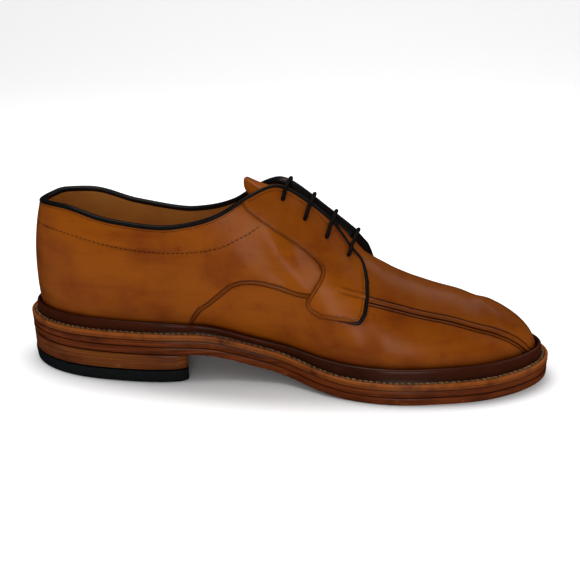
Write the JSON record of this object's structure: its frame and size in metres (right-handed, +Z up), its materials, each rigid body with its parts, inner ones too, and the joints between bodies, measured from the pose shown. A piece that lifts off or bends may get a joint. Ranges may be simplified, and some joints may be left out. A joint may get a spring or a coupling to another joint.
{
  "type": "bicycle toe derby shoe",
  "caption": "Left shoe for a man: a low lace-up derby with two raised seams along the vamp, a storm welt, a leather sole and a stacked heel.",
  "frame": {"origin": "on the floor under the middle of the outsole", "axes": "+X from heel to toe, +Y to the outer side of the foot, +Z up"},
  "size_m": [0.308, 0.106, 0.1139],
  "materials": {
    "calf": "smooth polished tan calf",
    "welt_leather": "dark waxed welt",
    "midsole_leather": "burnished edge",
    "outsole_leather": "burnished edge",
    "heel_leather": "stacked leather, burnished",
    "heel_rubber": "matte black rubber",
    "insole_leather": "smooth lining leather",
    "edge_binding": "black folded edge",
    "lace": "waxed round lace"
  },
  "bodies": {
    "root": {"outsole": "outsole_leather", "midsole": "midsole_leather", "storm_welt": "welt_leather", "top_lift": "heel_rubber", "heel_lifts": "heel_leather", "insole": "insole_leather", "upper": "calf", "tongue": "calf", "eyestay_medial": "calf", "eyestay_lateral": "calf", "binding": "edge_binding", "lace_bar_1": "lace", "lace_bar_2": "lace", "lace_bar_3": "lace", "lace_bar_4": "lace"}
  },
  "joints": []
}
